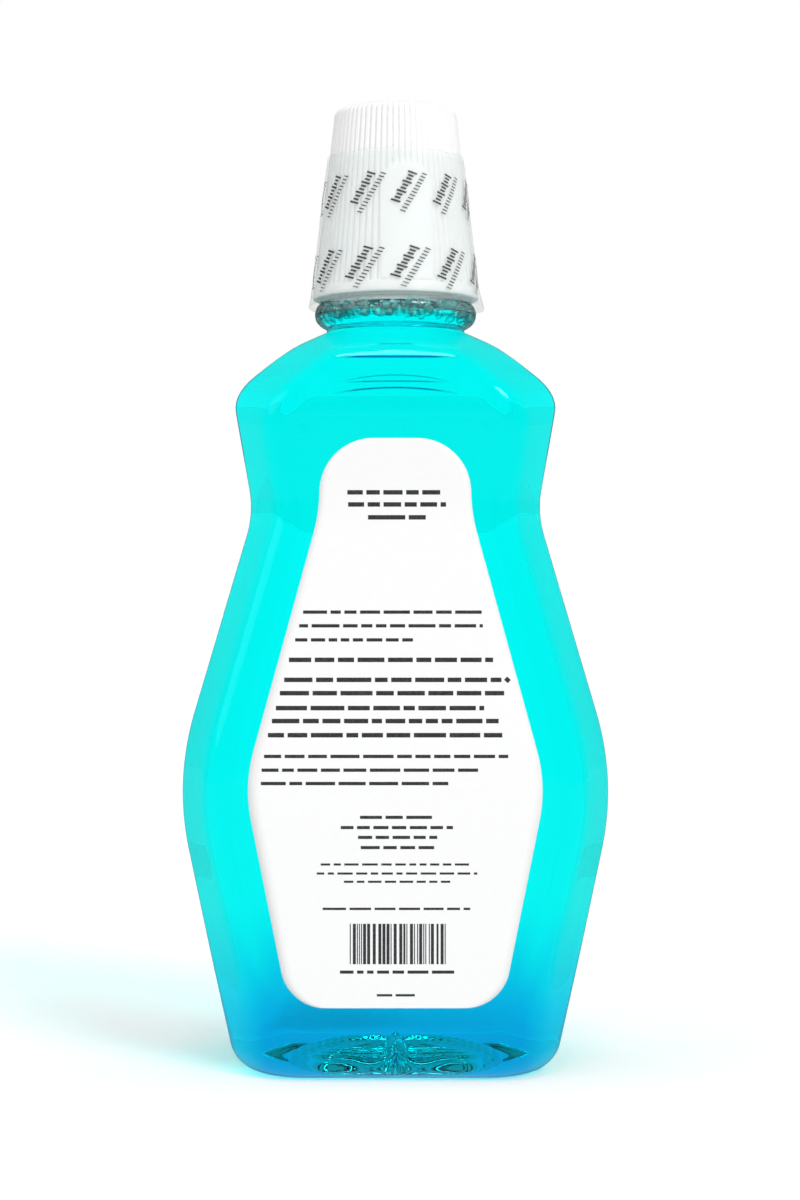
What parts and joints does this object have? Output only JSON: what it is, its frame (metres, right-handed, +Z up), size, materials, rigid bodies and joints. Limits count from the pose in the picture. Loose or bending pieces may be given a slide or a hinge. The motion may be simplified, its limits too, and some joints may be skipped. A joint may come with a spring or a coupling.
{
  "type": "mouthwash bottle",
  "caption": "Waisted, faceted clear bottle of blue-green mouthwash with a ribbed screw-on dosing cap, threaded insert, liner ring, shrink neckband and plain labels.",
  "frame": {"origin": "centre of the standing ring, on the surface that the bottle stands on", "axes": "+Z up along the bottle's and cap's axis, the wide faces square to Y with the back label facing -Y, +X across the bottle's width"},
  "size_m": [0.1116, 0.0656, 0.254],
  "materials": {
    "clear_pet": "clear blown PET, glossy",
    "liquid": "clear blue-green mouthwash; stands in for a liquid",
    "cap_white": "white moulded polypropylene, satin gloss",
    "insert_white": "white moulded polypropylene",
    "liner_foam": "soft foamed sealing ring",
    "clear_film": "clear film, shrunk on over the cap or stuck on the front panel",
    "label_paper": "white coated label"
  },
  "bodies": {
    "bottle": {"bottle_shell": "clear_pet", "mouthwash": "liquid", "back_label": "label_paper", "front_label": "clear_film"},
    "liner": {"cap_liner": "liner_foam"},
    "cap": {"cap_shell": "cap_white", "thread_insert": "insert_white"},
    "band": {"neckband": "clear_film"}
  },
  "joints": [
    {"name": "cap_lift", "type": "slide", "parent": "bottle", "child": "liner", "axis": [0, 0, 1], "range_m": [0, 0.02115]},
    {"name": "cap_turn", "type": "hinge", "parent": "liner", "child": "cap", "pos_m": [0, 0, 0.2215], "axis": [0, 0, 1], "range_deg": [0, 1800]},
    {"name": "band_slide", "type": "slide", "parent": "cap", "child": "band", "axis": [0, 0, 1], "range_m": [0, 0.055]}
  ],
  "couplings": [
    {"joint": "cap_lift", "follows": "cap_turn", "m_per_rad": 0.00067322}
  ]
}
